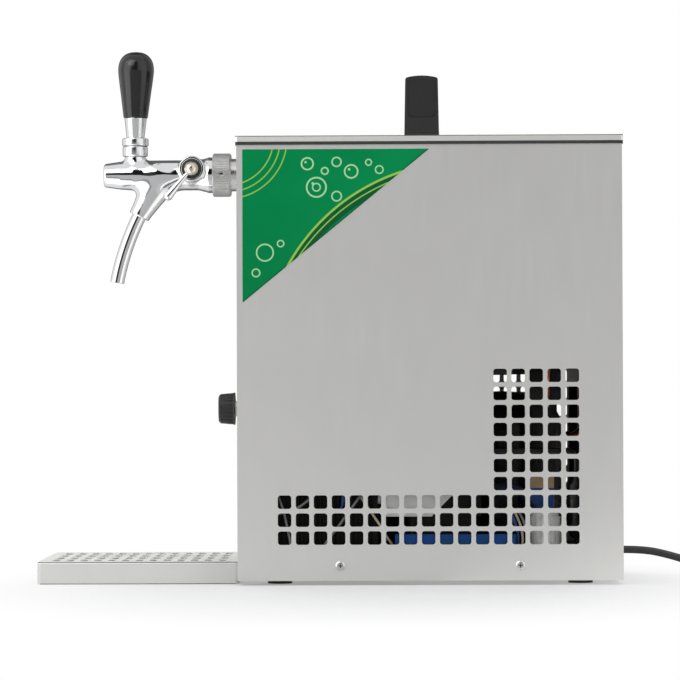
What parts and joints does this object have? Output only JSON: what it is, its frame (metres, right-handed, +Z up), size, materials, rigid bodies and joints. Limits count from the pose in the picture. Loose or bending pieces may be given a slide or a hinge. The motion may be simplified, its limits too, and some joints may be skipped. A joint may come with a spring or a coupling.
{
  "type": "beer cooler with tap",
  "caption": "Stainless over-counter flow-through beer cooler with compensator tap, vented sides, carrying handle, thermostat knob and a loose drip tray with slotted grate.",
  "frame": {"origin": "on the floor, below the middle of the outline from the drip tray's front edge to the rear fittings, without the mains lead", "axes": "+Z up, the tap and drip tray face -X, the mains lead leaves towards +X, +Y is the left side panel"},
  "size_m": [0.721, 0.2583, 0.4851],
  "materials": {
    "stainless": "fine satin brushing",
    "tray_steel": "galvanised sheet",
    "gasket": "black rubber",
    "screw_steel": "zinc plated",
    "handle_plastic": "fine moulded grain",
    "black_plastic": "moulded",
    "tap_chrome": "polished chrome plate",
    "satin_steel": "machined, satin",
    "nickel": "nickel plated ball",
    "tap_inner": "food grade plastic",
    "knob_black": "polished",
    "foam": "rigid foam",
    "block_alu": "cast",
    "coil_steel": "bright drawn tube",
    "copper": "drawn copper",
    "compressor_paint": "black enamel",
    "cover_beige": "moulded",
    "capacitor_grey": "moulded",
    "motor_paint": "dark enamel",
    "pump_alu": "cast",
    "hose_blue": "smooth hose",
    "foam_blue": "soft foam",
    "fitting_grey": "moulded",
    "collet_grey": "moulded",
    "cord_black": "smooth rubber sheath"
  },
  "bodies": {
    "cabinet": {"front_panel": "stainless", "rear_panel": "stainless", "right_side_panel": "stainless", "left_side_panel": "stainless", "lid": "stainless", "base_tray": "tray_steel", "block_shelf": "tray_steel", "lid_brace": "tray_steel", "lid_gasket": "gasket", "feet": "gasket", "compressor_grommets": "gasket", "compensator_seal": "gasket", "screws": "screw_steel", "carry_handle": "handle_plastic", "handle_end_caps": "handle_plastic", "thermostat_body": "black_plastic", "fan_shroud": "black_plastic", "switch_housing": "black_plastic", "cord_bushing": "black_plastic", "tap_body": "tap_chrome", "tap_collar": "tap_chrome", "spout_tube": "tap_chrome", "union_nut": "satin_steel", "tap_shank": "satin_steel", "shank_lock_nut": "satin_steel", "block_insulation": "foam", "cooling_block": "block_alu", "condenser": "block_alu", "beer_coil": "coil_steel", "refrigerant_pipes": "copper", "evaporator_pipe": "copper", "compressor": "compressor_paint", "terminal_cover": "cover_beige", "run_capacitor": "capacitor_grey", "fan_motor": "motor_paint", "air_pump": "pump_alu", "air_hose": "hose_blue", "foam_strip": "foam_blue", "beer_fitting": "fitting_grey", "air_fitting": "fitting_grey", "power_cord": "cord_black", "cord_coil": "cord_black", "plug": "cord_black"},
    "tap_handle": {"tap_lever": "satin_steel", "handle_ring": "tap_chrome", "handle_ferrule": "tap_chrome", "handle_knob": "knob_black"},
    "valve": {"valve_piston": "tap_inner", "piston_seals": "gasket"},
    "compensator_arm": {"compensator_axle": "nickel", "compensator_lever": "tap_chrome"},
    "compensator_plug": {"compensator_cone": "tap_inner"},
    "thermostat_dial": {"thermostat_knob": "black_plastic", "thermostat_shaft": "satin_steel"},
    "fan": {"fan_blade": "black_plastic"},
    "rocker": {"switch_rocker": "black_plastic"},
    "beer_release": {"beer_collet": "collet_grey"},
    "air_release": {"air_collet": "collet_grey"},
    "tray": {"drip_tray": "stainless"},
    "grate": {"drip_grate": "stainless"}
  },
  "joints": [
    {"name": "tap_lever_tilt", "type": "hinge", "parent": "cabinet", "child": "tap_handle", "pos_m": [-0.1846, 0, 0.386], "axis": [0, -1, 0], "range_deg": [0, 20]},
    {"name": "valve_slide", "type": "slide", "parent": "cabinet", "child": "valve", "axis": [1, 0, 0], "range_m": [0, 0.0052]},
    {"name": "compensator_turn", "type": "hinge", "parent": "cabinet", "child": "compensator_arm", "pos_m": [-0.1316, 0, 0.377], "axis": [0, 1, 0], "range_deg": [-40, 50]},
    {"name": "compensator_shift", "type": "slide", "parent": "cabinet", "child": "compensator_plug", "axis": [1, 0, 0], "range_m": [-0.0017, 0.0017]},
    {"name": "thermostat_turn", "type": "hinge", "parent": "cabinet", "child": "thermostat_dial", "pos_m": [-0.086, -0.075, 0.157], "axis": [-1, 0, 0], "range_deg": [-270, 0]},
    {"name": "fan_spin", "type": "hinge", "parent": "cabinet", "child": "fan", "pos_m": [-0.011, -0.061, 0.072], "axis": [0, 1, 0], "continuous": true},
    {"name": "rocker_tilt", "type": "hinge", "parent": "cabinet", "child": "rocker", "pos_m": [0.256, 0.045, 0.215], "axis": [0, 1, 0], "range_deg": [0, 20]},
    {"name": "beer_collet_press", "type": "slide", "parent": "cabinet", "child": "beer_release", "axis": [-1, 0, 0], "range_m": [0, 0.001]},
    {"name": "air_collet_press", "type": "slide", "parent": "cabinet", "child": "air_release", "axis": [-1, 0, 0], "range_m": [0, 0.001]},
    {"name": "tray_pull", "type": "slide", "parent": "cabinet", "child": "tray", "axis": [-1, 0, 0], "range_m": [0, 0.12]},
    {"name": "grate_lift", "type": "slide", "parent": "tray", "child": "grate", "axis": [0, 0, 1], "range_m": [0, 0.04]}
  ],
  "couplings": [
    {"joint": "valve_slide", "follows": "tap_lever_tilt", "m_per_rad": 0.014},
    {"joint": "compensator_shift", "follows": "compensator_turn", "m_per_rad": -0.0017}
  ]
}
